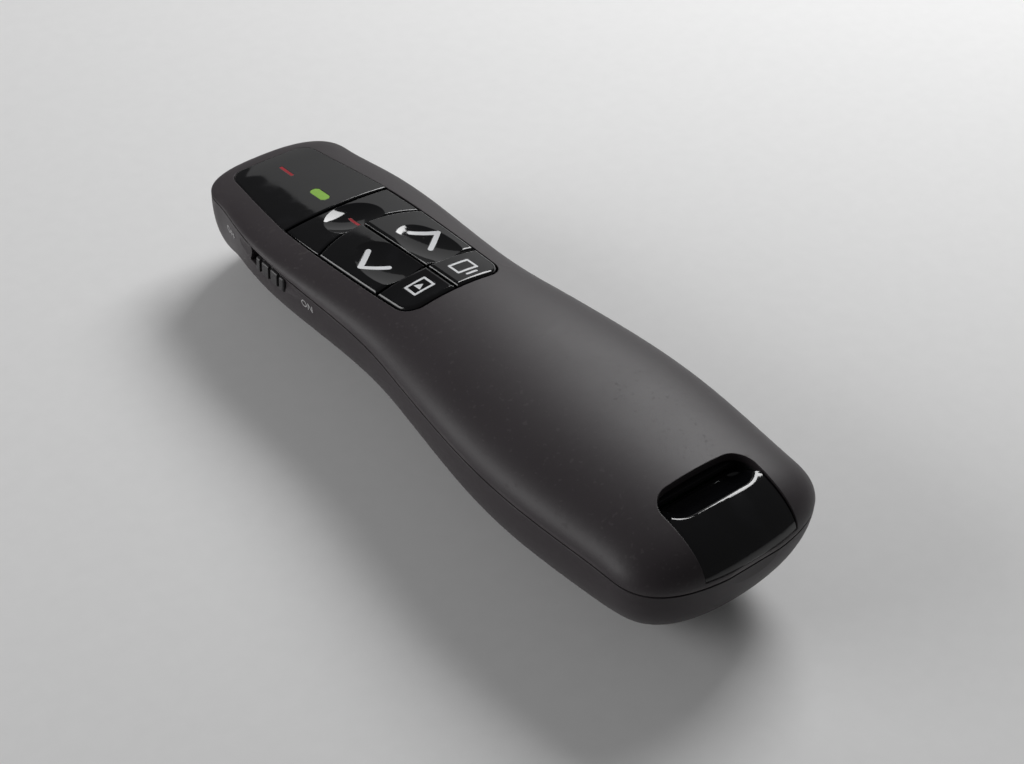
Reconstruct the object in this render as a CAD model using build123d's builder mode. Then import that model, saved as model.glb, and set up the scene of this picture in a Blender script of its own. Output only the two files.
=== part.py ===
from build123d import *
from math import atan2, degrees
import os

os.makedirs("parts", exist_ok=True)

# Wireless presentation clicker. Millimetres. +Y points to the laser nose, +X to the right of the
# person holding it, +Z up. The origin is on the table under the middle of the body.

# ---------------------------------------------------------------- outer form
body_length = 115.5
half_length = body_length / 2
seam_height = 16.1            # parting plane between the two covers
hull_wall = 1.5               # bottom cover
roof_wall = 1.3               # top cover
end_flat = 0.15               # how much of each rounded end is cut off flat

# half-widths along the body: grip, waist, key head, nose
width_stations = [(-46.0, 17.9), (-34.0, 18.7), (-20.0, 18.6), (-6.0, 17.0), (8.0, 15.0),
                  (22.0, 14.9), (36.0, 15.1), (48.0, 13.2)]
tail_width = 22.3             # before the tail is rounded off
nose_width = 11.8
tail_round = 16.3
tail_power = 2.4
nose_round = 6.4
nose_power = 2.7

# heights of the crown and of the belly above the table
crown_stations = [(-40.0, 23.5), (-20.0, 23.3), (0.0, 22.3), (20.0, 20.5), (40.0, 18.3)]
tail_crown = 23.4
nose_crown = 16.7
belly_stations = [(-40.0, 0.0), (-20.0, -0.7), (0.0, 1.3), (20.0, 1.7), (40.0, 0.5)]
tail_belly = 1.9
nose_belly = -0.6
tail_height_round = 14.9
tail_height_power = 2.2
nose_height_round = 5.0
nose_height_power = 2.5
roof_fullness = 0.5523        # how full the cross-sections are: 0.5523 is an ellipse
hull_fullness = 0.6126

# ---------------------------------------------------------------- seam, covers
seam_groove_width = 0.3
seam_groove_depth = 0.5
cover_fit = 0.12
deck_half_width = 11.3
deck_wide_from = 44.6

# ---------------------------------------------------------------- keys and panel
# half-width of the key field along the body
field_stations = [(13.5, 9.65), (28.0, 10.1), (36.6, 9.95)]
field_rear = 5.9
field_rear_width = 9.2
field_rear_radius = 3.2
panel_rear = 36.6
panel_front = 55.5
panel_front_width = 7.5
panel_front_radius = 2.6
panel_seat = 15.2
panel_proud = 0.1
panel_edge_round = 0.25
key_proud = 0.3
laser_key_proud = 0.05
key_edge_round = 0.6
laser_key_edge_round = 0.4
key_gap = 0.35
field_gap = 0.35
arc_radius = 24.3             # edge between the laser key and the two page keys
arc_front = 29.6
page_rear = 13.5
key_floor = 15.2
key_travel = 0.6
key_stop_gap = 0.05
key_skin = 1.3
stem_radius = 1.5
stem_clearance = 0.07
lug_length = 3.0
lug_reach = 0.8
lug_clearance = 0.25
laser_stem_y = 33.0
page_stem = (5.0, 20.5)
small_stem = (4.6, 9.9)
mark_depth = 0.25
page_dish_radius = 22.0
page_dish_depth = 0.6
page_dish_shape = (0.8, 1.3, 1)
laser_dish_radius = 14.0
laser_dish_depth = 0.85
laser_dish_shape = (1.12, 0.86, 1)

# ---------------------------------------------------------------- board and switches
board_top = 10.4
board_thickness = 1.0
board_half_width = 11.2
board_rear = 7.0
board_front = 43.5
tact_side = 5.2
tact_height = 1.8
plunger_radius = 1.0
plunger_clearance = 0.05
plunger_rise = 0.7
carrier_thickness = 1.0
carrier_half_width = 11.0
carrier_rear = 7.6
carrier_front = 38.8
post_radius = 1.6
board_posts = [(9.3, 14.8), (-9.3, 25.2), (9.3, 40.4), (-9.3, 10.6)]
board_screw_radius = 0.7
board_screw_length = 3.2
board_screw_hole = 2.6

# ---------------------------------------------------------------- power slide
slide_middle = 33.8
slide_dish_length = 17.8
slide_dish_height = 3.7
slide_dish_depth = 0.72
slide_z = 14.4
slider_rear = 29.4
slider_length = 7.2
slider_height = 2.4
slider_travel = 2.5
slider_clearance = 0.1
slider_proud = 0.1

# ---------------------------------------------------------------- power
cell_diameter = 10.5
cell_length = 44.5
cell_height = 9.2
cell_gap = 0.7
tray_front = 1.2
tray_wall = 1.0
spring_length = 3.1
contact_thickness = 0.3
door_wall = 1.35
door_rear = -50.5
door_front = 8.2
door_half_width = 12.4
door_front_half_width = 10.4
door_corner = 3.0
door_gap = 0.15

# ---------------------------------------------------------------- receiver
bay_floor = seam_height + 0.8
bay_floor_thickness = 0.8
bay_half_width = 8.55
bay_wall = 0.9
cutout_front = -44.9
cutout_corner = 3.3
receiver_clearance = 0.12
receiver_body_front = -29.5
plug_length = 12.0
plug_width = 12.0
plug_height = 4.5
plug_shell = 0.3
bay_front = -16.8


def profile(stations, y):
    """Smooth curve through hand-set stations, with slopes taken from each station's neighbours."""
    count = len(stations)
    slopes = []
    for i in range(count):
        before = stations[max(i - 1, 0)]
        after = stations[min(i + 1, count - 1)]
        slopes.append((after[1] - before[1]) / (after[0] - before[0]))
    i = 0
    while i < count - 2 and y > stations[i + 1][0]:
        i += 1
    span = stations[i + 1][0] - stations[i][0]
    t = (y - stations[i][0]) / span
    return (stations[i][1] * (2 * t**3 - 3 * t**2 + 1)
            + slopes[i] * span * (t**3 - 2 * t**2 + t)
            + stations[i + 1][1] * (3 * t**2 - 2 * t**3)
            + slopes[i + 1] * span * (t**3 - t**2))


def closing(distance, length, power):
    """Share of the full size left at a distance from a rounded end."""
    u = min(max(1 - (distance + end_flat) / length, 0), 1)
    return (1 - u**power) ** (1 / power)


plan = [(-half_length, tail_width)] + width_stations + [(half_length, nose_width)]
crown = [(-half_length, tail_crown)] + crown_stations + [(half_length, nose_crown)]
belly = [(-half_length, tail_belly)] + belly_stations + [(half_length, nose_belly)]


def half_width(y, inset):
    tail = closing(y + half_length - inset, tail_round - inset, tail_power)
    nose = closing(half_length - inset - y, nose_round - inset, nose_power)
    return (profile(plan, y) - inset) * tail * nose


def height_share(y, inset):
    tail = closing(y + half_length - inset, tail_height_round - inset, tail_height_power)
    nose = closing(half_length - inset - y, nose_height_round - inset, nose_height_power)
    return tail * nose


def rise(y, inset):
    return (profile(crown, y) - seam_height - inset) * height_share(y, inset)


def drop(y, inset):
    return (seam_height - profile(belly, y) - inset) * height_share(y, inset)


def section_places(inset, front):
    """Places along Y where the body's cross-sections stand: close together at the rounded ends."""
    tail = [-half_length + inset + d for d in (0, 0.4, 1.2, 2.6, 4.8, 8.0, 12.0)]
    middle = [-39.0, -30.0, -20.0, -10.0, 0.0, 10.0, 20.0, 30.0, 40.0, 47.0]
    nose = [half_length - inset - d for d in (6.4, 3.8, 2.0, 0.9, 0.3, 0)]
    places = [y for y in tail + middle if y < front - 3.0]
    if front < half_length - inset - 7.0:
        return places + [front]
    return places + nose


def half_section(y, width, height, up):
    """Half of a cross-section, above or below the parting plane: two quarter curves that meet level."""
    side = 1 if up else -1
    fullness = roof_fullness if up else hull_fullness
    reach = side * height
    with BuildSketch(Plane(origin=(0, y, seam_height), x_dir=(1, 0, 0), z_dir=(0, -1, 0))) as section:
        with BuildLine():
            Bezier((width, 0), (width, fullness * reach), (fullness * width, reach), (0, reach))
            Bezier((0, reach), (-fullness * width, reach), (-width, fullness * reach), (-width, 0))
            Line((-width, 0), (width, 0))
        make_face()
    return section.sketch


def half_body(inset, up, front=half_length):
    """The solid half body above or below the parting plane, shrunk by inset on every side."""
    with BuildPart() as half:
        for y in section_places(inset, front):
            height = rise(y, inset) if up else drop(y, inset)
            add(half_section(y, half_width(y, inset), height, up))
        loft()
    return half.part


def save(piece, name):
    piece.part.label = name
    export_step(piece.part, f"parts/{name}.step")


def box_between(low, high):
    """A block given by its lowest and highest corner."""
    size = [b - a for a, b in zip(low, high)]
    middle = [(a + b) / 2 for a, b in zip(low, high)]
    return Pos(*middle) * Box(*size, mode=Mode.PRIVATE)


def plan_outline(inset, rear=-half_length, front=half_length):
    """Outline of the body in plan at the parting plane, shrunk by inset, between two places."""
    low = max(rear, -half_length + inset)
    high = min(front, half_length - inset)
    places = [y for y in section_places(inset, half_length) if low + 0.2 < y < high - 0.2]
    side = [(half_width(y, inset), y) for y in [low] + places + [high]]
    with BuildSketch() as outline:
        with BuildLine():
            Spline(side)
            Line(side[-1], (-side[-1][0], high))
            Spline([(-x, y) for x, y in reversed(side)])
            Line((-side[0][0], low), side[0])
        make_face()
    return outline.sketch


field = [(field_rear, field_rear_width)] + field_stations + [(panel_front, panel_front_width)]


def field_outline(rear, front, inset, rear_radius=0.0, front_radius=0.0):
    """Outline of a stretch of the key field in plan, shrunk by inset at its sides and ends."""
    low = rear + inset
    high = front - inset
    places = [low + (high - low) * k / 4 for k in range(5)]
    side = [(profile(field, y) - inset, y) for y in places]
    with BuildSketch() as outline:
        with BuildLine():
            Spline(side)
            Line(side[-1], (-side[-1][0], high))
            Spline([(-x, y) for x, y in reversed(side)])
            Line((-side[0][0], low), side[0])
        make_face()
        if rear_radius > 0:
            fillet(outline.vertices().group_by(Axis.Y)[0], rear_radius)
        if front_radius > 0:
            fillet(outline.vertices().group_by(Axis.Y)[-1], front_radius)
    return outline.sketch


def upright(sketch, low, high):
    """A plan outline made into a block between two heights."""
    with BuildPart(Plane.XY.offset(low)) as block:
        with BuildSketch(Plane.XY.offset(low)):
            add(sketch)
        extrude(amount=high - low)
    return block.part


ceiling = 30.0                # above everything, for blocks that are trimmed by the crown

dome = half_body(0, True)
hull = half_body(0, False)
dome_core = half_body(roof_wall, True, panel_rear + 0.6)
hull_core = half_body(hull_wall, False)
door_core = half_body(door_wall, False)

# ---------------------------------------------------------------- outlines in plan
opening_outline = field_outline(field_rear, panel_rear, 0, field_rear_radius)
panel_outline = field_outline(panel_rear - 0.6, panel_front, 0, 0, panel_front_radius)
panel_outline_clear = panel_outline & Pos(0, panel_rear + 20) * Rectangle(60, 40)
with BuildSketch() as cutout_sketch:
    with Locations((0, (cutout_front - half_length - 2) / 2)):
        Rectangle(2 * bay_half_width, cutout_front + half_length + 2)
    fillet(cutout_sketch.vertices().group_by(Axis.Y)[-1], cutout_corner)
cutout_outline = cutout_sketch.sketch

far = half_length + 5
below_seam = box_between((-far, -far, -10), (far, far, seam_height))
above_crown = box_between((-far, -far, -10), (far, far, ceiling)) - (dome + below_seam)
below_table = box_between((-far, -far, -10), (far, far, 0))
crown_space = dome + below_seam

# heights that follow from the travel of the keys: the plate under them and the deck beside it
carrier_top = key_floor - key_travel - key_stop_gap
carrier_bottom = carrier_top - carrier_thickness
deck_bottom = carrier_top

# window of the status light
led_y = 41.0
led_window = (1.7, 3.8)
light_pipe_fit = 0.05
with BuildSketch() as led_sketch:
    with Locations((0, led_y)):
        Rectangle(*led_window)
    chamfer(led_sketch.vertices(), 0.45)
led_hole = upright(offset(led_sketch.sketch, amount=light_pipe_fit), deck_bottom - 2, ceiling)

# bay for the receiver, inside the rear of the top cover
bay_outer_half_width = bay_half_width + bay_wall
screw_places = [(-8.5, 4.4), (8.5, 4.4)]
screw_boss_radius = 2.2
screw_shank_radius = 0.95
screw_foot = 9.6
screw_seat = 7.9

# ---------------------------------------------------------------- top cover
# Soft-touch moulding from the parting line up: crown, key opening, receiver cut-out, panel deck.
deck_sketch = plan_outline(hull_wall + cover_fit, panel_rear + 0.4, half_length)
deck_sketch = deck_sketch & (
    Pos(0, (deck_wide_from + half_length) / 2) * Rectangle(60, half_length - deck_wide_from)
    + Pos(0, (panel_rear + deck_wide_from) / 2) * Rectangle(2 * deck_half_width, deck_wide_from - panel_rear))
deck = upright(deck_sketch, deck_bottom, seam_height + 0.6)
deck = deck & (dome + below_seam)
laser_height = 8.6
barrel_radius = 3.2
carrier_posts = [(-11.5, 8.4), (11.5, 8.4)]
with BuildPart() as top_cover:
    add(dome)
    add(dome_core, mode=Mode.SUBTRACT)
    add(deck)
    add(box_between((-2.0, 49.4, laser_height + barrel_radius), (2.0, 50.6, deck_bottom)))
    for x, y in screw_places:
        with Locations((x, y, (screw_foot + ceiling) / 2)):
            Cylinder(screw_boss_radius, ceiling - screw_foot)
    for x, y in carrier_posts:
        with Locations((x, y, (deck_bottom + ceiling) / 2)):
            Cylinder(1.3, ceiling - deck_bottom)
    add(upright(opening_outline, deck_bottom - 1, ceiling), mode=Mode.SUBTRACT)
    add(upright(panel_outline_clear, panel_seat, ceiling), mode=Mode.SUBTRACT)
    add(led_hole, mode=Mode.SUBTRACT)
    add(above_crown, mode=Mode.SUBTRACT)
    for x, y in screw_places:
        with Locations((x, y, screw_foot + 3.5)):
            Cylinder(screw_shank_radius, 7.0, mode=Mode.SUBTRACT)
    add(upright(cutout_outline, bay_floor, ceiling), mode=Mode.SUBTRACT)
save(top_cover, "top_cover")

# ---------------------------------------------------------------- bottom cover
# Moulding below the parting line with the battery tray, the board posts and the laser cradles.
tray_rear = tray_front - cell_length - spring_length - 2 * contact_thickness
cell_radius = cell_diameter / 2
cell_x = cell_radius + cell_gap / 2
channel_radius = cell_radius + 0.2
tray_top = cell_height + channel_radius + tray_wall
tray_half_width = cell_x + channel_radius + tray_wall
board_bottom = board_top - board_thickness
tray_back = tray_rear - tray_wall
tray_nose = tray_front + tray_wall
end_wall_low = 3.0
tray_outside = (box_between((-tray_half_width, tray_back, 0), (tray_half_width, tray_nose, tray_top))
                + box_between((-far, tray_back, tray_top - tray_wall), (far, tray_nose, tray_top))
                + box_between((-far, tray_back, end_wall_low), (far, tray_rear, tray_top))
                + box_between((-far, tray_front, end_wall_low), (far, tray_nose, tray_top)))
cell_space = box_between((-cell_x - channel_radius, tray_rear, 0),
                         (cell_x + channel_radius, tray_front, cell_height))
tray_middle = (tray_rear + tray_front) / 2
for x in (-cell_x, cell_x):
    channel = Cylinder(channel_radius, tray_front - tray_rear)
    cell_space += Pos(x, tray_middle, cell_height) * Rot(90, 0, 0) * channel
plate_half_height = 4.0
plate_inner = 0.6
plate_outer = cell_x + 3.6
plate_low = cell_height - plate_half_height
plate_high = cell_height + plate_half_height
plate_room = 0.1
for y in (tray_rear, tray_front - contact_thickness):
    cell_space += box_between((-plate_outer - plate_room, y, plate_low - plate_room),
                              (plate_outer + plate_room, y + contact_thickness, plate_high + plate_room))

# room at the tray's rear corners for the side walls of the door when it swings
swing_room_inner = 10.4
swing_room_high = 7.4
for side in (-1, 1):
    inner, outer = sorted((side * swing_room_inner, side * far))
    cell_space += box_between((inner, tray_back - 0.1, 0), (outer, tray_rear + 0.1, swing_room_high))

# hooks of the battery door, and the room their risers need when the door swings
hook_places = (-3.2, 3.2)
hook_width = 2.4
hook_low = 5.4
hook_high = 6.2
hook_rear = door_rear - 0.75
riser_rear = door_rear + 0.2
riser_front = door_rear + 1.0
for x in hook_places:
    reach = hook_width / 2 + 0.2
    cell_space += box_between((x - reach, tray_back, 0),
                              (x + reach, tray_rear - tray_wall / 2, hook_high + 1.0))

# leads from the contacts to the board
lead_radius = 0.35
lead_x = 1.3
lead_height = board_top + lead_radius
door_taper_from = tray_front - 8
with BuildSketch() as door_sketch:
    with BuildLine():
        Polyline((-door_half_width, door_rear), (door_half_width, door_rear),
                 (door_half_width, door_taper_from), (door_front_half_width, door_front),
                 (-door_front_half_width, door_front), (-door_half_width, door_taper_from), close=True)
    make_face()
    fillet(door_sketch.vertices().group_by(Axis.Y)[-1], door_corner)
    fillet(door_sketch.vertices().group_by(Axis.Y)[0], door_corner / 2)
    fillet(door_sketch.vertices().group_by(Axis.Y)[2], 12.0)
door_outline = door_sketch.sketch
seam_ring = box_between((-far, -far, seam_height - seam_groove_width), (far, far, seam_height + 1))
seam_ring -= upright(plan_outline(seam_groove_depth), seam_height - 1, seam_height + 2)

# dish of the power slide: a shallow barrel-shaped cut along the left wall
dish_rear = slide_middle - slide_dish_length / 2
dish_front = slide_middle + slide_dish_length / 2
rear_side = half_width(dish_rear, 0)
front_side = half_width(dish_front, 0)
middle_side = half_width(slide_middle, 0)
dish_bulge = middle_side - (rear_side + front_side) / 2
half_height = slide_dish_height / 2
dish_mid_radius = (half_height**2 + slide_dish_depth**2) / (2 * slide_dish_depth)
dish_tip_radius = dish_mid_radius - slide_dish_depth + dish_bulge
with BuildPart() as dish_cut:
    with BuildSketch(Plane.XY) as dish_profile:
        with BuildLine():
            ThreePointArc((dish_tip_radius, dish_rear), (dish_mid_radius, slide_middle),
                          (dish_tip_radius, dish_front))
            Polyline((dish_tip_radius, dish_front), (0, dish_front), (0, dish_rear),
                     (dish_tip_radius, dish_rear))
        make_face()
    revolve(axis=Axis.Y)
dish_lean = (rear_side - front_side) / slide_dish_length
dish_axis_x = -(rear_side + front_side) / 2 - dish_tip_radius
dish = Pos(0, -slide_middle, 0) * dish_cut.part
dish = Pos(dish_axis_x, slide_middle, slide_z) * Rot(0, 0, -57.3 * dish_lean) * dish

slider_front = slider_rear + slider_length
slot_half_height = slider_height / 2 + slider_clearance
slider_z = slide_z - 0.2
slot = box_between((-20, slider_rear - slider_clearance, slider_z - slot_half_height),
                   (-10, slider_front + slider_travel + slider_clearance, slider_z + slot_half_height))

window_radius = 1.9
window_thickness = 0.9
window_front = half_length - 0.5
cradle_radius = barrel_radius + 0.05
with BuildPart() as bottom_cover:
    add(hull)
    add(hull_core, mode=Mode.SUBTRACT)
    add(upright(door_outline, -5, 16), mode=Mode.SUBTRACT)
    add((tray_outside - cell_space) & hull_core)
    for x, y in screw_places:
        column = Pos(x, y, screw_foot / 2) * Cylinder(screw_boss_radius + 0.3, screw_foot, mode=Mode.PRIVATE)
        gusset = box_between((x - 0.6, tray_front + 0.5, 5.0), (x + 0.6, y, screw_foot))
        add((column + gusset) & hull_core)
        with Locations((x, y, 0)):
            Cylinder(screw_shank_radius + 0.1, 2 * screw_foot, mode=Mode.SUBTRACT)
            Cylinder(1.9, 2 * screw_seat, mode=Mode.SUBTRACT)
    for x, y in board_posts:
        post = Pos(x, y, board_bottom / 2) * Cylinder(post_radius, board_bottom, mode=Mode.PRIVATE)
        add(post & hull)
    for y in (47.4, 52.6):
        rib = box_between((-4.6, y - 0.6, 0), (4.6, y + 0.6, laser_height))
        rib -= Pos(0, y, laser_height) * Rot(90, 0, 0) * Cylinder(cradle_radius, 5.0, mode=Mode.PRIVATE)
        add(rib & hull)
    add(below_table, mode=Mode.SUBTRACT)
    add(seam_ring, mode=Mode.SUBTRACT)
    add(dish, mode=Mode.SUBTRACT)
    add(slot, mode=Mode.SUBTRACT)
    for x in (-lead_x, lead_x):
        with Locations(Plane(origin=(x, tray_front + tray_wall / 2, lead_height), z_dir=(0, 1, 0))):
            Cylinder(lead_radius + 0.1, 2 * tray_wall, mode=Mode.SUBTRACT)
    with Locations(Plane(origin=(0, half_length, laser_height), z_dir=(0, 1, 0))):
        Cylinder(window_radius, 6.0, mode=Mode.SUBTRACT)
    for x, y in board_posts[:2]:
        with Locations((x, y, board_bottom - board_screw_hole / 2)):
            Cylinder(board_screw_radius, board_screw_hole, mode=Mode.SUBTRACT)
save(bottom_cover, "bottom_cover")

# ---------------------------------------------------------------- battery door
# Wall of the grip that swings down on two hooks at its rear edge.
door_inner_outline = offset(door_outline, amount=-door_gap)
door_shell = (hull - door_core) & upright(door_inner_outline, 0.0, 16)
with BuildPart() as battery_door:
    add(door_shell)
    for x in hook_places:
        left, right = x - hook_width / 2, x + hook_width / 2
        add(box_between((left, hook_rear, hook_low), (right, riser_front, hook_high)))
        riser = box_between((left, riser_rear, 2.0), (right, riser_front, hook_high))
        add(riser & (Pos(0, 0, -0.4) * door_core))
save(battery_door, "battery_door")

# ---------------------------------------------------------------- power cells and contacts
cell_can = 0.8                # height of the positive nub
for name, x, turn in (("cell_left", -cell_x, 1), ("cell_right", cell_x, -1)):
    nub_end = tray_front - contact_thickness if turn > 0 else tray_rear + contact_thickness
    with BuildPart() as cell:
        with BuildSketch(Plane(origin=(x, nub_end, cell_height), x_dir=(1, 0, 0), z_dir=(0, -turn, 0))):
            Circle(1.9)
        extrude(amount=cell_can)
        with BuildSketch(Plane(origin=(x, nub_end - turn * cell_can, cell_height), z_dir=(0, -turn, 0))):
            Circle(cell_radius)
        extrude(amount=cell_length - cell_can)
        fillet(cell.edges().filter_by(GeomType.CIRCLE).group_by(SortBy.RADIUS)[-1], 0.5)
    save(cell, name)

with BuildPart() as rear_bridge_contact:
    add(box_between((-plate_outer, tray_rear, plate_low),
                    (plate_outer, tray_rear + contact_thickness, plate_high)))
    fillet(rear_bridge_contact.edges().filter_by(Axis.Y), 1.0)
save(rear_bridge_contact, "rear_bridge_contact")
for name, side in (("positive_contact", -1), ("negative_contact", 1)):
    left, right = sorted((side * plate_inner, side * plate_outer))
    with BuildPart() as contact:
        add(box_between((left, tray_front - contact_thickness, plate_low), (right, tray_front, plate_high)))
        fillet(contact.edges().filter_by(Axis.Y), 0.8)
    save(contact, name)
lead_length = board_rear + 2.0 - tray_front
with BuildPart() as battery_leads:
    for x in (-lead_x, lead_x):
        with Locations(Plane(origin=(x, tray_front, lead_height), z_dir=(0, 1, 0))):
            Cylinder(lead_radius, lead_length, align=(Align.CENTER, Align.CENTER, Align.MIN))
save(battery_leads, "battery_leads")

# coil springs at the negative ends, wound from round wire
spring_wire = 0.45
spring_radius = 2.9
spring_turns = 3.0
spring_margin = spring_wire / 2 + 0.03
with BuildPart() as contact_springs:
    for x, y, side in ((-cell_x, tray_rear + contact_thickness, 1),
                       (cell_x, tray_front - contact_thickness, -1)):
        height = spring_length - 2 * spring_margin
        with BuildLine() as coil:
            Helix(pitch=height / spring_turns, height=height, radius=spring_radius,
                  center=(x, y + side * spring_margin, cell_height), direction=(0, side, 0))
        with BuildSketch(Plane(origin=coil.line @ 0, z_dir=coil.line % 0)):
            Circle(spring_wire / 2)
        sweep(path=coil.line)
save(contact_springs, "contact_springs")

# ---------------------------------------------------------------- receiver bay
bay_rear = -half_length + roof_wall
with BuildPart() as receiver_bay:
    outer = box_between((-bay_outer_half_width, bay_rear, bay_floor - bay_floor_thickness),
                        (bay_outer_half_width, bay_front + bay_wall, ceiling))
    inner = box_between((-bay_half_width, -far, bay_floor), (bay_half_width, bay_front, ceiling))
    add((outer - inner) & dome_core)
save(receiver_bay, "receiver_bay")

# ---------------------------------------------------------------- receiver
cap_half_width = bay_half_width - receiver_clearance
receiver_low = bay_floor + 0.05
plug_high = receiver_low + plug_height
plug_front = receiver_body_front + plug_length
with BuildSketch() as cap_sketch:
    with Locations((0, (cutout_front - half_length - 2) / 2 - receiver_clearance)):
        Rectangle(2 * cap_half_width, cutout_front + half_length + 2)
    fillet(cap_sketch.vertices().group_by(Axis.Y)[-1], cutout_corner - receiver_clearance)
cap_front = cutout_front - receiver_clearance
scoop_radius = 4.2
scoop_y = -46.6
scoop_z = 24.4
scoop_half_length = 4.8
crest_low = 20.6
crest_round = 0.9
cap_recess = 0.35
scoop = Pos(0, scoop_y, scoop_z) * Rot(0, 90, 0) * Cylinder(scoop_radius, 2 * scoop_half_length)
for x in (-scoop_half_length, scoop_half_length):
    scoop += Pos(x, scoop_y, scoop_z) * Sphere(scoop_radius)
cap_block = upright(cap_sketch.sketch, receiver_low, ceiling) & dome & (Pos(0, 0, -cap_recess) * crown_space)


def on_crest(edge):
    """True for the long edges round the scoop at the top of the receiver's cap."""
    spot = edge.position_at(0.5)
    return (spot.Z > crest_low and abs(spot.X) < cap_half_width - 0.1 and edge.length > 3
            and spot.Y < cap_front - 0.3)


with BuildPart() as receiver_cap:
    add(cap_block - scoop)
    fillet(receiver_cap.edges().filter_by(on_crest), crest_round)
save(receiver_cap, "receiver_cap")

body_half_width = 8.2
body_high = receiver_low + 4.0
body_skin = 0.9
with BuildPart() as receiver_body:
    add(box_between((-body_half_width, cap_front, receiver_low),
                    (body_half_width, receiver_body_front, body_high)))
    fillet(receiver_body.edges().filter_by(Axis.Y), 0.8)
    fillet(receiver_body.faces().sort_by(Axis.Y)[-1].edges(), 0.5)
    add(box_between((-body_half_width + body_skin, cap_front, receiver_low + body_skin),
                    (body_half_width - body_skin, receiver_body_front - body_skin, body_high - body_skin)),
        mode=Mode.SUBTRACT)
    add(box_between((-5.4, receiver_body_front - 2, receiver_low + body_skin),
                    (5.4, receiver_body_front + 1, receiver_low + 2.6)), mode=Mode.SUBTRACT)
save(receiver_body, "receiver_body")

with BuildPart() as usb_plug_shell:
    add(box_between((-plug_width / 2, receiver_body_front, receiver_low),
                    (plug_width / 2, plug_front, plug_high)))
    fillet(usb_plug_shell.edges().filter_by(Axis.Y), 0.4)
    add(box_between((-plug_width / 2 + plug_shell, receiver_body_front, receiver_low + plug_shell),
                    (plug_width / 2 - plug_shell, plug_front, plug_high - plug_shell)), mode=Mode.SUBTRACT)
    for x in (-2.9, 2.9):
        with Locations((x, plug_front - 6.3, plug_high)):
            Box(2.5, 2.2, 4 * plug_shell, mode=Mode.SUBTRACT)
save(usb_plug_shell, "usb_plug_shell")

tongue_low = receiver_low + plug_shell
tongue_high = tongue_low + 1.9
with BuildPart() as usb_tongue:
    add(box_between((-5.6, receiver_body_front, tongue_low), (5.6, plug_front - 0.4, tongue_high)))
    chamfer(usb_tongue.faces().sort_by(Axis.Y)[-1].edges().filter_by(Axis.X), 0.3)
save(usb_tongue, "usb_tongue")

with BuildPart() as usb_contacts:
    for x in (-3.5, -1.0, 1.0, 3.5):
        longer = 1.0 if abs(x) > 2 else 0
        add(box_between((x - 0.5, receiver_body_front + 1.0, tongue_high),
                        (x + 0.5, plug_front - 2.6 + longer, tongue_high + 0.15)))
save(usb_contacts, "usb_contacts")

board_rest = receiver_low + body_skin
with BuildPart() as receiver_board:
    add(box_between((-5.2, cap_front + 0.6, board_rest), (5.2, receiver_body_front, board_rest + 0.8)))
save(receiver_board, "receiver_board")
with BuildPart() as receiver_chip:
    add(box_between((-2.0, -38.5, board_rest + 0.8), (2.0, -34.5, board_rest + 1.5)))
    chamfer(receiver_chip.faces().sort_by(Axis.Z)[-1].edges(), 0.12)
save(receiver_chip, "receiver_chip")

# ---------------------------------------------------------------- keys
# Gloss caps on guided stems. Each cap follows the crown and has a shallow finger dish.
arc_center = arc_front - arc_radius
wide = 40.0


def plan_box(x_low, y_low, x_high, y_high):
    return Pos((x_low + x_high) / 2, (y_low + y_high) / 2) * Rectangle(x_high - x_low, y_high - y_low)


def key_outlines(inset):
    """The five keys in plan, each shrunk by inset: laser, left page, right page, left small, right small."""
    edge = key_gap / 2 + inset
    keys = field_outline(field_rear, panel_rear - key_gap + field_gap, field_gap + inset,
                         field_rear_radius - field_gap - inset)
    inside_arc = Pos(0, arc_center) * Circle(arc_radius - edge)
    outside_arc = Pos(0, arc_center) * Circle(arc_radius + edge)
    return [(keys - outside_arc) & plan_box(-wide, 20, wide, wide),
            keys & inside_arc & plan_box(-wide, page_rear + edge, -edge, wide),
            keys & inside_arc & plan_box(edge, page_rear + edge, wide, wide),
            keys & plan_box(-wide, 0, -edge, page_rear - edge),
            keys & plan_box(edge, 0, wide, page_rear - edge)]


def stroke_path(points, width, closed=False):
    """A flat line of a legend, drawn through points with round corners."""
    with BuildSketch() as legend:
        ends = points + [points[0]] if closed else points
        for a, b in zip(ends, ends[1:]):
            reach = ((b[0] - a[0]) ** 2 + (b[1] - a[1]) ** 2) ** 0.5
            angle = degrees(atan2(b[1] - a[1], b[0] - a[0]))
            with Locations(Location(((a[0] + b[0]) / 2, (a[1] + b[1]) / 2, 0), angle)):
                SlotOverall(reach + width, width)
    return legend.sketch


chevron_apex = (7.4, 20.2)
chevron_end_x = 3.95
chevron_reach = 2.6
chevron_stroke = 0.85


def chevron(side):
    """An arrow head that points to one side."""
    apex_x, apex_y = chevron_apex
    return stroke_path([(side * chevron_end_x, apex_y + chevron_reach), (side * apex_x, apex_y),
                        (side * chevron_end_x, apex_y - chevron_reach)], chevron_stroke)


left_chevron = chevron(-1)
right_chevron = chevron(1)
icon_stroke = 0.4
screen_middle = (4.1, 9.9)
screen_size = (3.5, 2.3)


def screen_corners(x, y):
    sx, sy = screen_size[0] / 2, screen_size[1] / 2
    return [(x - sx, y - sy), (x + sx, y - sy), (x + sx, y + sy), (x - sx, y + sy)]


play_mark = stroke_path(screen_corners(-screen_middle[0], screen_middle[1]), icon_stroke, closed=True)
play_mark += Pos(-screen_middle[0] - 0.15, screen_middle[1]) * RegularPolygon(0.85, 3)
blank_mark = stroke_path(screen_corners(*screen_middle), icon_stroke, closed=True)
foot_y = screen_middle[1] - 2.1
blank_mark += stroke_path([(screen_middle[0] - 0.9, foot_y), (screen_middle[0] + 0.9, foot_y)], icon_stroke)
laser_mark_sketch = Pos(0, 31.8) * Rectangle(0.5, 2.6)

plunger_top = board_top + tact_height + plunger_rise


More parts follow.
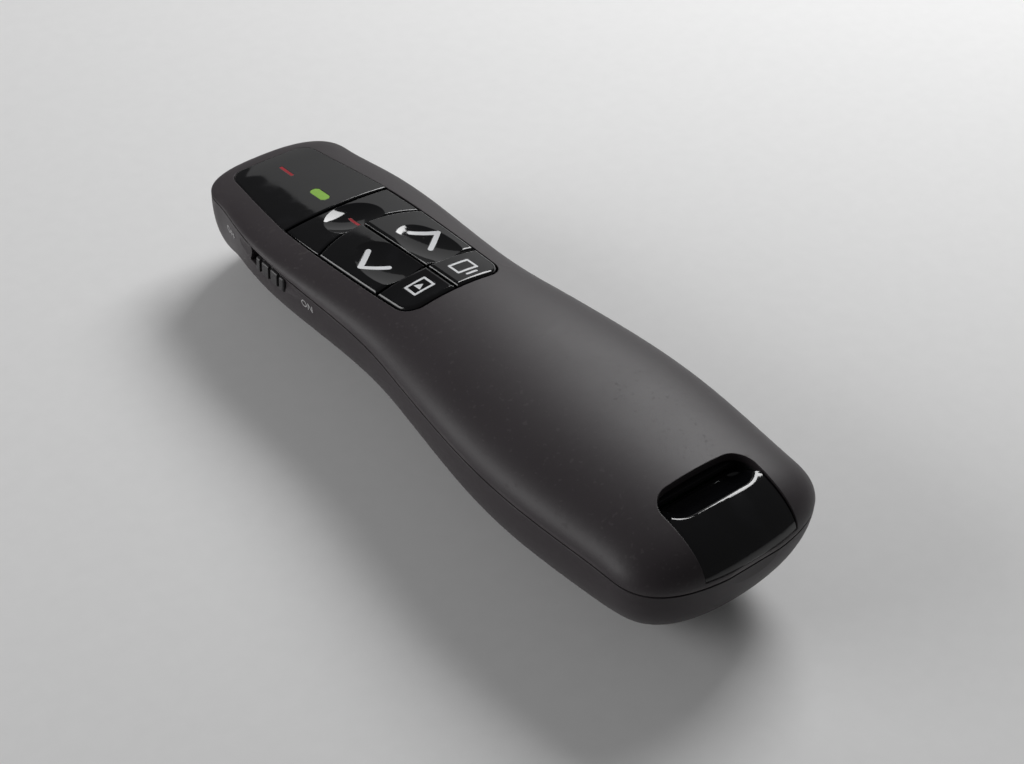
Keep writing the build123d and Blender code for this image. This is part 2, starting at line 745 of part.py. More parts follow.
def crown_height(x, y):
    """Height of the top cover's surface at a place in plan."""
    return seam_height + rise(y, 0) * (1 - (x / half_width(y, 0)) ** 2) ** 0.5


def rounded_top(block, radius):
    """A block with the edges of its top face rounded."""
    with BuildPart() as rounded:
        add(block)
        top = rounded.faces().sort_by(lambda face: face.center().Z)[-1]
        fillet(top.edges(), radius)
    return rounded.part


def make_key(name, which, proud, stem, dish, lug_x, lug_y, mark, mark_name):
    """One key: the dished hollow cap on its stem, its legend let in flush, and the switch plunger."""
    key_crown = Pos(0, 0, proud) * crown_space
    block = upright(outer_outlines[which], key_floor, ceiling) & key_crown
    block = rounded_top(block, laser_key_edge_round if which == 0 else key_edge_round)
    surface = block if dish is None else block - dish
    pocket = upright(mark, key_floor + 1.0, ceiling) & surface
    pocket = pocket - Pos(0, 0, -mark_depth) * surface
    hollow = upright(inner_outlines[which], key_floor, ceiling) & (Pos(0, 0, -key_skin) * key_crown)
    post = Pos(stem[0], stem[1], (plunger_top + ceiling) / 2) * Cylinder(stem_radius, ceiling - plunger_top)
    post = post & (Pos(0, 0, -key_skin / 2) * key_crown)
    under_roof = Pos(0, 0, -lug_clearance) * (dome_core + below_seam)
    with BuildPart() as cap:
        add(block - hollow)
        add(post)
        for x in lug_x:
            add(box_between((x - lug_reach, lug_y - lug_length / 2, key_floor),
                            (x + lug_reach, lug_y + lug_length / 2, ceiling)) & under_roof)
        if dish is not None:
            add(dish, mode=Mode.SUBTRACT)
        add(pocket, mode=Mode.SUBTRACT)
    save(cap, name)
    with BuildPart() as inlay:
        add(pocket)
    save(inlay, mark_name)
    with BuildPart() as plunger:
        with Locations((stem[0], stem[1], plunger_top)):
            Cylinder(plunger_radius, plunger_rise + 1.0, align=(Align.CENTER, Align.CENTER, Align.MAX))
    save(plunger, name.replace("button", "plunger"))


outer_outlines = key_outlines(0)
inner_outlines = key_outlines(key_skin)
laser_dish_y = 32.8
laser_dish_top = crown_height(0, laser_dish_y) + laser_key_proud - laser_dish_depth + laser_dish_radius
laser_dish = Pos(0, laser_dish_y, laser_dish_top) * scale(Sphere(laser_dish_radius), by=laser_dish_shape)
page_dish_place = (5.0, 20.6)
page_dish_top = crown_height(*page_dish_place) + key_proud - page_dish_depth + page_dish_radius
page_dish = scale(Sphere(page_dish_radius), by=page_dish_shape)
left_dish = Pos(-page_dish_place[0], page_dish_place[1], page_dish_top) * page_dish
right_dish = Pos(page_dish_place[0], page_dish_place[1], page_dish_top) * page_dish
make_key("laser_button", 0, laser_key_proud, (0, laser_stem_y), laser_dish, (-9.9, 9.9), 32.5,
         laser_mark_sketch, "laser_mark")
make_key("previous_button", 1, key_proud, (-page_stem[0], page_stem[1]), left_dish, (-9.9,), 20.5,
         left_chevron, "previous_mark")
make_key("next_button", 2, key_proud, page_stem, right_dish, (9.9,), 20.5, right_chevron, "next_mark")
make_key("slideshow_button", 3, key_proud, (-small_stem[0], small_stem[1]), None, (-9.4,), 11.0,
         play_mark, "slideshow_mark")
make_key("blank_screen_button", 4, key_proud, small_stem, None, (9.4,), 11.0, blank_mark, "blank_screen_mark")

# ---------------------------------------------------------------- front panel
laser_bar_y = 50.2
panel_crown = Pos(0, 0, panel_proud) * crown_space
panel_fit = 0.08
panel_sketch = field_outline(panel_rear, panel_front, panel_fit, 0, panel_front_radius)
panel_block = rounded_top(upright(panel_sketch, panel_seat, ceiling) & panel_crown, panel_edge_round)
bar_sketch = Pos(0, laser_bar_y) * Rectangle(0.55, 3.4)
bar_cut = upright(bar_sketch, panel_seat + 0.5, ceiling)
with BuildPart() as front_panel:
    add(panel_block)
    add(bar_cut, mode=Mode.SUBTRACT)
    add(led_hole, mode=Mode.SUBTRACT)
save(front_panel, "front_panel")
with BuildPart() as laser_bar_lens:
    add(panel_block & bar_cut)
save(laser_bar_lens, "laser_bar_lens")
led_top = board_top + 0.9
with BuildPart() as status_light_pipe:
    add(upright(led_sketch.sketch, led_top, ceiling) & panel_crown)
save(status_light_pipe, "status_light_pipe")

# ---------------------------------------------------------------- key carrier
key_places = [(0, laser_stem_y), (-page_stem[0], page_stem[1]), page_stem,
              (-small_stem[0], small_stem[1]), small_stem]
with BuildPart() as key_carrier:
    with BuildSketch(Plane.XY.offset(carrier_bottom)):
        with Locations((0, (carrier_rear + carrier_front) / 2)):
            RectangleRounded(2 * carrier_half_width, carrier_front - carrier_rear, 1.0)
        with Locations(carrier_posts):
            Circle(1.5)
        with Locations(key_places):
            Circle(stem_radius + stem_clearance, mode=Mode.SUBTRACT)
    extrude(amount=carrier_thickness)
save(key_carrier, "key_carrier")

# ---------------------------------------------------------------- main board and what stands on it
with BuildPart() as main_board:
    with BuildSketch(Plane.XY.offset(board_bottom)):
        with Locations((0, (board_rear + board_front) / 2)):
            RectangleRounded(2 * board_half_width, board_front - board_rear, 1.2)
        with Locations(board_posts[:2]):
            Circle(1.0, mode=Mode.SUBTRACT)
    extrude(amount=board_thickness)
save(main_board, "main_board")

with BuildPart() as tact_switch_bodies:
    with Locations([(x, y, board_top) for x, y in key_places]):
        Box(tact_side, tact_side, tact_height, align=(Align.CENTER, Align.CENTER, Align.MIN))
    chamfer(tact_switch_bodies.edges().filter_by(Axis.Z), 0.4)
    with Locations([(x, y, board_top + 0.1) for x, y in key_places]):
        Cylinder(plunger_radius + plunger_clearance, tact_height,
                 align=(Align.CENTER, Align.CENTER, Align.MIN), mode=Mode.SUBTRACT)
save(tact_switch_bodies, "tact_switch_bodies")


def make_chip(name, places, size):
    """One kind of part standing on the board."""
    with BuildPart() as chip:
        with Locations([(x, y, board_top) for x, y in places]):
            Box(*size, align=(Align.CENTER, Align.CENTER, Align.MIN))
        chamfer(chip.faces().group_by(Axis.Z)[-1].edges(), 0.12)
    save(chip, name)


make_chip("radio_chip", [(0.4, 26.6)], (4.6, 4.6, 0.8))
make_chip("crystal", [(5.6, 26.8)], (3.2, 2.5, 0.7))
make_chip("chip_antenna", [(8.4, 36.8)], (2.0, 5.0, 0.9))
make_chip("status_led", [(0, led_y)], (1.0, 1.8, 0.8))
make_chip("ceramic_capacitors", [(5.6, 30.4), (5.6, 31.6), (5.6, 32.8)], (1.0, 0.5, 0.5))

# ---------------------------------------------------------------- screws


def make_screws(name, places, seat, up, head_radius, head_height, shank_radius, length):
    """Cross-head screws; the head sits on the seat and the shank points up or down from it."""
    with BuildPart() as group:
        for x, y in places:
            turn = Rot(0, 0, 0) if up else Rot(180, 0, 0)
            shape = Pos(0, 0, -head_height / 2) * Cylinder(head_radius, head_height, mode=Mode.PRIVATE)
            shape += Pos(0, 0, (length - head_height) / 2) * Cylinder(
                shank_radius, length + head_height, mode=Mode.PRIVATE)
            for size in ((1.4 * head_radius, 0.35, 1.0), (0.35, 1.4 * head_radius, 1.0)):
                shape -= Pos(0, 0, -head_height) * Box(*size, mode=Mode.PRIVATE)
            add(Pos(x, y, seat) * turn * shape)
    save(group, name)


make_screws("case_screws", screw_places, screw_seat, True, 1.7, 1.1, screw_shank_radius, 8.0)
make_screws("board_screws", board_posts[:2], board_top, False, 1.5, 0.8, board_screw_radius,
            board_screw_length)

# ---------------------------------------------------------------- laser module and nose window
barrel_rear = board_front + 1.7
barrel_front = half_length - hull_wall - 0.9
nose_axis = Plane(origin=(0, barrel_rear, laser_height), z_dir=(0, 1, 0))
barrel_length = barrel_front - barrel_rear
with BuildPart() as laser_barrel:
    with BuildSketch(nose_axis):
        Circle(barrel_radius)
    extrude(amount=barrel_length)
    chamfer(laser_barrel.edges().filter_by(GeomType.CIRCLE), 0.25)
    with BuildSketch(nose_axis.offset(barrel_length - 4.5)):
        Circle(2.3)
    extrude(amount=4.5, mode=Mode.SUBTRACT)
save(laser_barrel, "laser_barrel")
with BuildPart() as laser_lens:
    with BuildSketch(nose_axis.offset(barrel_length - 2.4)):
        Circle(2.3)
    extrude(amount=1.2)
    chamfer(laser_lens.edges(), 0.2)
save(laser_lens, "laser_lens")
with BuildPart() as laser_driver_board:
    add(box_between((-3.2, board_front + 0.9, laser_height - 3.2), (3.2, barrel_rear, laser_height + 3.2)))
save(laser_driver_board, "laser_driver_board")
with BuildPart() as laser_pins:
    for x in (-1.3, 1.3):
        add(box_between((x - 0.25, board_front - 0.9, board_top),
                        (x + 0.25, board_front + 0.9, board_top + 0.5)))
save(laser_pins, "laser_pins")
with BuildPart() as nose_window:
    with BuildSketch(Plane(origin=(0, window_front, laser_height), z_dir=(0, -1, 0))):
        Circle(window_radius)
    extrude(amount=window_thickness)
    chamfer(nose_window.faces().sort_by(Axis.Y)[-1].edges(), 0.15)
save(nose_window, "nose_window")

# ---------------------------------------------------------------- power slide
flange_outer = -12.3
flange_thickness = 0.7
flange_inner = flange_outer + flange_thickness
lever_y = 33.0
lever_low = board_top + 0.6
lever_high = lever_low + 0.8
grip_outer = -(middle_side + slider_proud)
groove_width = 0.7
groove_depth = 0.55
groove_pitch = 2.3
with BuildPart() as power_slider:
    add(box_between((grip_outer, slider_rear, slider_z - slider_height / 2),
                    (flange_inner, slider_front, slider_z + slider_height / 2)))
    fillet(power_slider.faces().sort_by(Axis.X)[0].edges(), 0.3)
    overlap = slider_travel + 0.2
    add(box_between((flange_outer, slider_rear - overlap, slider_z - slider_height / 2 - 0.5),
                    (flange_inner, slider_front + overlap, slider_z + slider_height / 2 + 0.4)))
    add(box_between((flange_outer, lever_y - 1.2, lever_low - 0.2), (flange_inner, lever_y + 1.2, slider_z)))
    add(box_between((flange_outer - 1, lever_y - 0.5, lever_low - 1),
                    (flange_inner + 1, lever_y + 0.5, lever_high + 0.1)), mode=Mode.SUBTRACT)
    for k in (-1, 0, 1):
        with Locations((grip_outer, slider_rear + slider_length / 2 + k * groove_pitch, slider_z)):
            Box(2 * groove_depth, groove_width, 5.0, mode=Mode.SUBTRACT)
save(power_slider, "power_slider")

switch_outer = -board_half_width + 0.1
switch_inner = switch_outer + 3.6
switch_top = board_top + 1.8
with BuildPart() as switch_lever:
    add(box_between((flange_outer + 0.1, lever_y - 0.45, lever_low),
                    (switch_outer + 1.6, lever_y + 0.45, lever_high)))
save(switch_lever, "switch_lever")
with BuildPart() as slide_switch_body:
    switch_middle = lever_y + slider_travel / 2
    add(box_between((switch_outer, switch_middle - 4.3, board_top),
                    (switch_inner, switch_middle + 4.3, switch_top)))
    chamfer(slide_switch_body.edges().filter_by(Axis.Z), 0.3)
    add(box_between((switch_outer - 1, lever_y - 0.55, lever_low - 0.1),
                    (switch_outer + 1.8, lever_y + slider_travel + 0.55, lever_high + 0.1)),
        mode=Mode.SUBTRACT)
save(slide_switch_body, "slide_switch_body")
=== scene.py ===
import bpy
from mathutils import Matrix, Vector


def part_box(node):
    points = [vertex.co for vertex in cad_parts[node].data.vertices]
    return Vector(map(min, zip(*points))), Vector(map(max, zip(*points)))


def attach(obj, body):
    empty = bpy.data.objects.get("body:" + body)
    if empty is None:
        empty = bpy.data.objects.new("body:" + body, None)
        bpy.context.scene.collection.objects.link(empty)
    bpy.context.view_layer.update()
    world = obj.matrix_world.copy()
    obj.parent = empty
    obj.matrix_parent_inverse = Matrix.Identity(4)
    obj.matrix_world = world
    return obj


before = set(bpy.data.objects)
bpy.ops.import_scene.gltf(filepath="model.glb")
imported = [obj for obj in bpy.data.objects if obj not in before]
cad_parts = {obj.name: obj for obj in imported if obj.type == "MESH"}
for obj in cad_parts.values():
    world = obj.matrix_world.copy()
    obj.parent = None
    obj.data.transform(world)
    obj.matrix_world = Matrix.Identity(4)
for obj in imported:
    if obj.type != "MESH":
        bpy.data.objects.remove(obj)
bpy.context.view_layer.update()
bpy.ops.object.select_all(action="DESELECT")


# ---------------------------------------------------------------- bottom cover
# Tub below the parting line, moulded in black ABS and sprayed with charcoal soft-touch paint.
# The paint is satin with a very fine grain, and it is rubbed a little smoother along the seam.
class Wire:
    """One output of a finish's nodes. Arithmetic on it adds Math nodes."""

    # Places of a colour Mix node's sockets, which share their names with its other types' sockets.
    mix_first, mix_second, mix_result = 6, 7, 2
    edge_samples = 6

    def __init__(self, tree, socket):
        self.tree = tree
        self.socket = socket

    def node(self, kind, settings, values, output=0):
        """A new node: its type, its settings, and the values or wires of its sockets."""
        made = self.tree.nodes.new(kind)
        for name, value in settings.items():
            setattr(made, name, value)
        for name, value in values.items():
            if isinstance(value, Wire):
                self.tree.links.new(value.socket, made.inputs[name])
            else:
                made.inputs[name].default_value = value
        return Wire(self.tree, made.outputs[output])

    def sum(self, operation, first, second=0.0):
        """A Math node on two values or wires."""
        return self.node("ShaderNodeMath", {"operation": operation}, {0: first, 1: second})

    def __add__(self, other):
        return self.sum("ADD", self, other)

    __radd__ = __add__

    def __sub__(self, other):
        return self.sum("SUBTRACT", self, other)

    def __rsub__(self, other):
        return self.sum("SUBTRACT", other, self)

    def __mul__(self, other):
        return self.sum("MULTIPLY", self, other)

    __rmul__ = __mul__

    def __truediv__(self, other):
        return self.sum("DIVIDE", self, other)

    def __abs__(self):
        return self.sum("ABSOLUTE", self)

    def folded(self, pitch):
        """Runs from 0 to 1 over pitch metres, and back."""
        return self.sum("PINGPONG", self, pitch) / pitch

    def between(self, low, high):
        """0 below low, 1 above high, and a smooth step from one to the other."""
        return self.node("ShaderNodeMapRange", {"interpolation_type": "SMOOTHSTEP"},
                         {"Value": self, "From Min": low, "From Max": high})

    def noise(self, size, detail=2.0):
        """Soft noise from 0 to 1 over a place, with spots about size metres across."""
        values = {"Vector": self, "Scale": 1.0 / size, "Detail": detail}
        return self.node("ShaderNodeTexNoise", {}, values)

    def cells(self, size, output):
        """Cells about size metres across: output 0 is the distance to a centre, 1 a colour each."""
        values = {"Vector": self, "Scale": 1.0 / size}
        return self.node("ShaderNodeTexVoronoi", {"feature": "F1"}, values, output)

    def axis(self, name):
        """The X, Y or Z of a place, in metres."""
        return self.node("ShaderNodeSeparateXYZ", {}, {"Vector": self}, "XYZ".index(name))

    def blend(self, first, second):
        """The first colour where this is 0, and the second where it is 1."""
        values = {"Factor": self}
        for side, colour in ((self.mix_first, first), (self.mix_second, second)):
            values[side] = colour if isinstance(colour, Wire) else (*colour, 1.0)
        return self.node("ShaderNodeMix", {"data_type": "RGBA"}, values, self.mix_result)

    def broken_edge(self, radius):
        """Normals that round the sharp edges a little, as paint and polish do."""
        return self.node("ShaderNodeBevel", {"samples": self.edge_samples}, {"Radius": radius})

    def bump(self, depth, strength=1.0, under=None):
        """Normals of a surface that this raises by depth metres."""
        values = {"Height": self, "Distance": depth, "Strength": strength}
        if under is not None:
            values["Normal"] = under
        return self.node("ShaderNodeBump", {}, values)


def new_finish(name):
    """An empty finish, its shader, and a wire with the place on the object."""
    finish = bpy.data.materials.new(name)
    finish.use_nodes = True
    tree = finish.node_tree
    place = Wire(tree, tree.nodes.new("ShaderNodeTexCoord").outputs["Object"])
    return finish, tree.nodes["Principled BSDF"], place


def set_surface(shader, values):
    """Values or wires for the sockets of a finish's shader."""
    for name, value in values.items():
        if isinstance(value, Wire):
            value.tree.links.new(value.socket, shader.inputs[name])
        else:
            shader.inputs[name].default_value = value


def coat(finish, *nodes):
    """Gives solids of the frame their finish."""
    for name in nodes:
        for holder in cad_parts[name].material_slots:
            holder.material = finish


seam_height = 0.0161
rub_core = 0.00015
rub_reach = 0.0007
palm_size = 0.014
speck_size = 0.0006
rub_patch_size = 0.009
painted_edge = 0.00022


def soft_touch(name, tone, worn_tone, grain_size, grain_depth):
    """Sprayed soft-touch paint: fine grain, cloudy gloss from hands, rubbed smoother at the seam."""
    finish, shader, place = new_finish(name)
    grain = place.noise(grain_size, 1.0)
    clouds = place.noise(palm_size, 3.0)
    specks = place.noise(speck_size, 0.0).between(0.70, 0.80)
    edge = 1 - abs(place.axis("Z") - seam_height).between(rub_core, rub_reach)
    rubbed = edge * place.noise(rub_patch_size, 2.0).between(0.25, 0.7)
    shade = (clouds * 0.5 + grain * 0.5).between(0.2, 0.8)
    darker = [0.93 * c for c in tone]
    colour = shade.blend(darker, tone)
    colour = (rubbed * 0.6 + specks * 0.25).blend(colour, worn_tone)
    set_surface(shader, {
        "Base Color": colour,
        "Roughness": 0.44 + clouds * 0.10 + specks * 0.08 - rubbed * 0.10,
        "Normal": grain.bump(grain_depth, 0.5, place.broken_edge(painted_edge)),
        "Specular IOR Level": 0.34,
        "Sheen Weight": 0.04,
        "Sheen Roughness": 0.5,
        "Sheen Tint": (0.9, 0.86, 0.88, 1.0)})
    return finish


cover_tone = (0.031, 0.0255, 0.0285)
rubbed_tone = (0.070, 0.062, 0.065)
cover_paint = soft_touch("charcoal_soft_touch", cover_tone, rubbed_tone, 0.00016, 0.000012)
coat(cover_paint, "bottom_cover")

# ---------------------------------------------------------------- battery door
# The grip's underside swings down on two hooks. It comes from the same tool set and paint as the
# covers, but the palm keeps it a little more polished.
coat(soft_touch("door_soft_touch", [0.97 * c for c in cover_tone], rubbed_tone, 0.00017, 0.00001),
     "battery_door")

# ---------------------------------------------------------------- cells and their contacts
# Two AAA cells lie side by side, nose to tail, in plain shrunk-on sleeves with bare steel ends.
# Nickel-plated plates and coil springs touch them, and two red leads run forward to the board.
cell_rear, cell_front = (corner.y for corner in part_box("cell_left"))
negative_rim, band_from, positive_rim = 0.012, 0.70, 0.962  # shares of a cell's length
band_blur = 0.005
rim_blur = 0.008
graphite_print = (0.045, 0.050, 0.060)
pale_print = (0.34, 0.35, 0.36)
bare_steel = (0.58, 0.57, 0.55)


def sleeve(name, toward_front):
    """A cell's sleeve: graphite, a pale band at the positive end, and steel past both rims."""
    finish, shader, place = new_finish(name)
    share = (place.axis("Y") - cell_rear) / (cell_front - cell_rear)
    if not toward_front:
        share = 1 - share
    band = share.between(band_from, band_from + band_blur)
    behind = 1 - share.between(negative_rim, negative_rim + rim_blur)
    rims = behind + share.between(positive_rim, positive_rim + rim_blur)
    scuffs = place.noise(0.0012, 4.0)
    cover = band.blend(graphite_print, pale_print)
    set_surface(shader, {
        "Base Color": rims.blend(cover, bare_steel),
        "Metallic": rims,
        "Roughness": 0.24 + scuffs * 0.18,
        "Normal": place.noise(0.004, 2.0).bump(0.00003, 0.4)})
    return finish


coat(sleeve("left_cell_sleeve", True), "cell_left")
coat(sleeve("right_cell_sleeve", False), "cell_right")

line_width = 0.00018
line_stretch = 0.02
spot_size = 0.0015


def plated(name, tone, brushed_along, roughness):
    """Sheet or wire metal under a thin plating, with drawn lines and a few dull spots."""
    finish, shader, place = new_finish(name)
    stretch = [line_stretch if axis == brushed_along else 1.0 for axis in "XYZ"]
    stretched = place.node("ShaderNodeMapping", {}, {"Vector": place, "Scale": stretch})
    drawn = stretched.noise(line_width, 3.0)
    spots = place.noise(spot_size, 3.0).between(0.45, 0.75)
    set_surface(shader, {
        "Base Color": (spots * 0.6 + drawn * 0.3).blend(tone, [0.72 * c for c in tone]),
        "Metallic": 1.0,
        "Roughness": roughness + drawn * 0.14 + spots * 0.10,
        "Normal": drawn.bump(0.000006, 0.5)})
    return finish


nickel = (0.62, 0.60, 0.57)
coat(plated("nickel_plate", nickel, "X", 0.20),
     "rear_bridge_contact", "positive_contact", "negative_contact")
coat(plated("spring_wire", nickel, "Z", 0.16), "contact_springs")

flow_size = 0.006
dust_size = 0.0011
moulded_edge = 0.0001


def moulded(name, tone, roughness, texture_size, texture_depth, dust=0.15):
    """Plastic straight from the tool: spark-eroded texture, flow clouds and a little dust."""
    finish, shader, place = new_finish(name)
    texture = place.noise(texture_size, 2.0)
    flow = place.noise(flow_size, 3.0)
    settled = place.noise(dust_size, 3.0).between(0.55, 0.85)
    colour = flow.between(0.3, 0.7).blend([0.88 * c for c in tone], tone)
    set_surface(shader, {
        "Base Color": (settled * dust).blend(colour, [0.5 * c + 0.06 for c in tone]),
        "Roughness": roughness + flow * 0.08 + settled * 0.06,
        "Normal": texture.bump(texture_depth, 0.6, place.broken_edge(moulded_edge))})
    return finish


coat(moulded("lead_insulation", (0.36, 0.02, 0.02), 0.38, 0.0006, 0.00001, 0.05), "battery_leads")

# ---------------------------------------------------------------- main board
# Glass-fibre board under green solder mask, with copper lines showing as raised paler paths.
# The radio chip, the crystal, the ceramic parts and the press switches are soldered on top.
track_pitch = 0.0011
track_wander = 0.0022
field_size = 1 / 260
via_spacing = 1 / 420
bare_mask = (0.008, 0.060, 0.022)
mask_on_copper = (0.020, 0.130, 0.050)
tinned = (0.55, 0.50, 0.40)


def solder_mask(name):
    """Green mask over fields of copper lines that run along or across, and tinned vias."""
    finish, shader, place = new_finish(name)
    wander = place.noise(0.006, 0.0) * track_wander
    lines = (place.axis("X") + wander).folded(track_pitch / 2)
    cross_lines = (place.axis("Y") + wander).folded(track_pitch)
    field = place.cells(field_size, 1)
    which = field.node("ShaderNodeSeparateColor", {}, {"Color": field}).between(0.45, 0.5)
    copper = which * lines.between(0.56, 0.64) + (1 - which) * cross_lines.between(0.72, 0.78)
    via = 1 - place.cells(via_spacing, 0).between(0.10, 0.13)
    mask = copper.blend(bare_mask, mask_on_copper)
    set_surface(shader, {
        "Base Color": via.blend(mask, tinned),
        "Metallic": via * 0.9,
        "Roughness": 0.28 + place.noise(0.0008, 3.0) * 0.12,
        "Normal": copper.bump(0.00003, 0.7),
        "Coat Weight": 0.3})
    return finish


coat(solder_mask("green_solder_mask"), "main_board", "laser_driver_board", "receiver_board")
coat(moulded("chip_package", (0.016, 0.016, 0.017), 0.46, 0.00012, 0.000008, 0.05),
     "radio_chip", "receiver_chip")
coat(moulded("switch_case", (0.020, 0.020, 0.022), 0.42, 0.00015, 0.000006, 0.08),
     "tact_switch_bodies", "slide_switch_body", "switch_lever")
coat(moulded("switch_plunger", (0.42, 0.40, 0.36), 0.35, 0.0002, 0.000005, 0.02),
     "laser_plunger", "previous_plunger", "next_plunger", "slideshow_plunger", "blank_screen_plunger")
coat(moulded("fired_ceramic", (0.50, 0.38, 0.25), 0.52, 0.0001, 0.000004, 0.02),
     "ceramic_capacitors", "chip_antenna")
coat(plated("crystal_can", (0.66, 0.65, 0.62), "Y", 0.18), "crystal")
coat(moulded("led_lens", (0.62, 0.60, 0.42), 0.22, 0.0004, 0.000002, 0.0), "status_led")

# ---------------------------------------------------------------- screws
# Black-zinc cross-head screws: two short ones hold the board, and two long ones close the covers
# from below, where their heads sit deep under the battery door.
coat(plated("black_zinc", (0.20, 0.20, 0.21), "X", 0.26), "board_screws", "case_screws")

# ---------------------------------------------------------------- laser module and nose window
# A turned brass barrel with a pressed-in lens lies in two cradles behind a clear round window.
coat(plated("turned_brass", (0.70, 0.50, 0.22), "Z", 0.22), "laser_barrel")
coat(plated("gold_pin", (0.80, 0.58, 0.24), "Y", 0.18), "laser_pins", "usb_contacts")


def clear(name, tint):
    """Clear acrylic with faint moulding waves and a few fine rubs."""
    finish, shader, place = new_finish(name)
    waves = place.noise(0.0018, 2.0)
    set_surface(shader, {
        "Base Color": waves.blend(tint, [0.94 * c for c in tint]),
        "Roughness": 0.03 + place.noise(0.0004, 3.0) * 0.08,
        "Alpha": 0.42 + waves * 0.08,
        "IOR": 1.49,
        "Normal": waves.bump(0.000004, 0.3)})
    return finish


coat(clear("clear_acrylic", (0.66, 0.70, 0.74)), "laser_lens", "nose_window")

# ---------------------------------------------------------------- power slide
# Finger slide on the left flank, a finely eroded black moulding with three thumb grooves.
coat(moulded("slide_plastic", (0.030, 0.028, 0.030), 0.34, 0.00018, 0.00001, 0.10), "power_slider")

# ---------------------------------------------------------------- power words
# ON and OFF stand at the two ends of the slide, pad-printed in grey ink on the flank's curve.
word_height = 0.00125
ink_rise = 0.00005
ink_depth = 0.0004
power_words = (("OFF", 0.0464, 0.0133), ("ON", 0.0235, 0.0140))  # word, place along Y, height
font_cap_share = 0.70
letter_spacing = 1.08
left_of_case = -0.05

ink, shader, place = new_finish("grey_pad_ink")
patchy = place.noise(0.0003, 3.0)
set_surface(shader, {
    "Base Color": patchy.blend((0.34, 0.335, 0.34), (0.46, 0.45, 0.455)),
    "Roughness": 0.45 + patchy * 0.2,
    "Normal": patchy.bump(0.000005, 0.4)})


def side_word(word, along, height):
    """One word laid on the flank, level with the skin. It reads from the nose to the tail."""
    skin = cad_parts["bottom_cover"]
    bpy.ops.object.text_add()
    piece = bpy.context.object
    piece.name = "power_word_" + word.lower()
    piece.data.body = word
    piece.data.size = word_height / font_cap_share
    piece.data.align_x = "CENTER"
    piece.data.align_y = "CENTER"
    piece.data.extrude = ink_depth / 2
    piece.data.space_character = letter_spacing
    bpy.ops.object.convert(target="MESH")
    piece = bpy.context.object
    _, spot, out, _ = skin.ray_cast(Vector((left_of_case, along, height)), Vector((1, 0, 0)))
    across = Vector((0, -1, 0))
    across = (across - out * across.dot(out)).normalized()
    up = out.cross(across)
    turn = Matrix((across, up, out)).transposed().to_4x4()
    middle = spot + out * (ink_rise - ink_depth / 2)
    piece.data.transform(Matrix.Translation(middle) @ turn)
    piece.data.materials.clear()
    piece.data.materials.append(ink)
    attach(piece, "clicker")
    piece.select_set(False)


for word, along, height in power_words:
    side_word(word, along, height)

# ---------------------------------------------------------------- key carrier and receiver bay
# Unpainted black ABS inside the case: the plate that guides the key stems, and the shoe-shaped
# bay that the receiver slides into.
coat(moulded("inner_abs", (0.035, 0.035, 0.037), 0.44, 0.0003, 0.000012, 0.2),
     "key_carrier", "receiver_bay")


# ---------------------------------------------------------------- keys
# Five hollow caps in piano-black ABS from a polished tool. The two long ones and the laser key
# have dished tops. Use leaves hair-fine swirls and faint finger marks in the reflections.
polished_edge = 0.00015
finger_mark_size = 0.0045
swirl_rings = 900.0


def piano_black(name, tone):
    """Gloss plastic: rings of hair-fine swirls, faint finger marks and a slow moulding wave."""
    finish, shader, place = new_finish(name)
    finger_marks = place.noise(finger_mark_size, 4.0).between(0.5, 0.75)
    wave = place.noise(0.005, 1.0)
    hairs = place.node("ShaderNodeTexWave", {"wave_type": "RINGS", "rings_direction": "Z"},
                       {"Vector": place, "Scale": swirl_rings, "Distortion": 12.0, "Detail": 3.0}, 1)
    swirls = hairs.between(0.93, 1.0) * place.noise(0.003, 2.0).between(0.55, 0.7)
    set_surface(shader, {
        "Base Color": finger_marks.blend(tone, [1.6 * c for c in tone]),
        "Roughness": 0.045 + finger_marks * 0.07 + swirls * 0.06,
        "Normal": wave.bump(0.00001, 0.25, place.broken_edge(polished_edge)),
        "Coat Weight": 0.1 + swirls * 0.1,
        "Coat Roughness": 0.03})
    return finish


gloss_black = piano_black("piano_black", (0.0035, 0.0035, 0.0042))
coat(gloss_black,
     "laser_button", "previous_button", "next_button", "slideshow_button", "blank_screen_button")

# ---------------------------------------------------------------- legends
# Second-shot inlays, flush with the caps: white chevrons and icons, and the laser key's red line.
coat(moulded("white_inlay", (0.78, 0.79, 0.81), 0.26, 0.0008, 0.000003, 0.03),
     "previous_mark", "next_mark", "slideshow_mark", "blank_screen_mark")
coat(moulded("red_inlay", (0.34, 0.012, 0.022), 0.24, 0.0008, 0.000003, 0.02),
     "laser_mark", "laser_bar_lens")

# ---------------------------------------------------------------- front panel
# Piano-black cover plate between the keys and the nose. A yellow-green light pipe comes through
# it over the status light, with a red bar ahead of it.
coat(gloss_black, "front_panel")
pipe, shader, place = new_finish("light_pipe")
haze = place.noise(0.0009, 2.0)
set_surface(shader, {
    "Base Color": haze.blend((0.17, 0.34, 0.045), (0.25, 0.45, 0.07)),
    "Roughness": 0.16 + haze * 0.1,
    # The emission is a painted glow, as if the status light shone through the pipe; no lamp lights it
    # in the scene.
    "Emission Color": haze.blend((0.10, 0.20, 0.02), (0.14, 0.26, 0.03)),
    "Emission Strength": 0.2,
    "Normal": haze.bump(0.000004, 0.3)})
coat(pipe, "status_light_pipe")

# ---------------------------------------------------------------- top cover
# Crowned upper half in the same soft-touch paint, cut out for the keys, the panel and the
# receiver's cap. The rear of its crown is plain.
coat(cover_paint, "top_cover")

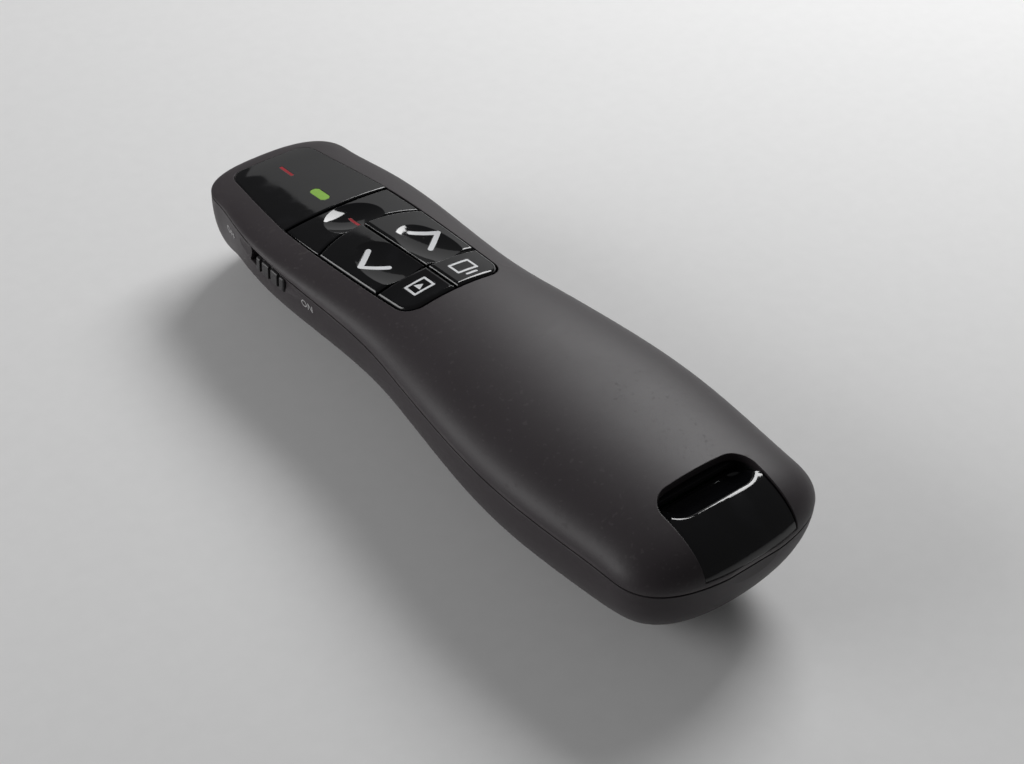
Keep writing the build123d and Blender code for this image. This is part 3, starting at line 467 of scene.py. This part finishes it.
# ---------------------------------------------------------------- receiver
# Radio stick that stores in the tail: a piano-black cap with a finger scoop, a satin body and a
# folded steel USB plug with its tongue and four gold contacts.
coat(gloss_black, "receiver_cap")
coat(moulded("receiver_abs", (0.022, 0.022, 0.024), 0.32, 0.00025, 0.000008, 0.08), "receiver_body")
coat(plated("plug_steel", (0.66, 0.65, 0.63), "Y", 0.19), "usb_plug_shell")
coat(moulded("tongue_plastic", (0.60, 0.60, 0.58), 0.36, 0.0004, 0.000003, 0.03), "usb_tongue")

# ---------------------------------------------------------------- floor, lamps and camera
# Pale matt table top under three soft boxes, seen from behind the left shoulder of the clicker.
table_side = 6.0
bpy.ops.mesh.primitive_plane_add(size=table_side, location=(0, 0, 0))
table_top = bpy.context.object
table_top.name = "table_top"
paper, shader, place = new_finish("pale_table")
fibre = place.noise(0.003, 3.0)
set_surface(shader, {
    "Base Color": fibre.blend((0.78, 0.78, 0.78), (0.82, 0.82, 0.82)),
    "Roughness": 0.9})
table_top.data.materials.append(paper)
table_top.select_set(False)


def soft_box(name, place, aim, width, height, power):
    """A rectangular area lamp that faces its aim: sizes in metres, power in watts."""
    lamp = bpy.data.lights.new(name, "AREA")
    lamp.shape = "RECTANGLE"
    lamp.size = width
    lamp.size_y = height
    lamp.energy = power
    stand = bpy.data.objects.new(name, lamp)
    stand.location = place
    stand.rotation_euler = (Vector(aim) - Vector(place)).to_track_quat("-Z", "Y").to_euler()
    bpy.context.scene.collection.objects.link(stand)


soft_box("key_box", (0.30, 0.135, 0.285), (0, 0.0, 0.02), 0.24, 0.18, 1.38)
soft_box("front_box", (0.49, 0.48, 0.24), (0, 0.02, 0.015), 0.50, 0.28, 0.17)
soft_box("left_fill", (-0.56, 0.32, 0.22), (0, 0.02, 0.015), 0.50, 0.36, 2.7)

room_light = 0.095
sky = bpy.data.worlds.new("studio")
bpy.context.scene.world = sky
sky.use_nodes = True
background = sky.node_tree.nodes["Background"]
background.inputs["Color"].default_value = (1, 1, 1, 1)
background.inputs["Strength"].default_value = room_light

camera_place = Vector((-0.1567811, -0.1822420, 0.2140752))
camera_right = Vector((0.771077, -0.634864, 0.048858))
camera_up = Vector((0.385617, 0.526655, 0.757584))
camera_back = Vector((-0.506694, -0.565315, 0.650907))
lens = bpy.data.cameras.new("camera")
lens.sensor_width = 36.0
lens.lens = 73.99
lens.clip_start = 0.01
lens.clip_end = 20.0
camera = bpy.data.objects.new("camera", lens)
turn = Matrix((camera_right, camera_up, camera_back)).transposed().to_4x4()
camera.matrix_world = Matrix.Translation(camera_place) @ turn
bpy.context.scene.collection.objects.link(camera)
bpy.context.scene.camera = camera
bpy.context.scene.view_settings.view_transform = "Standard"
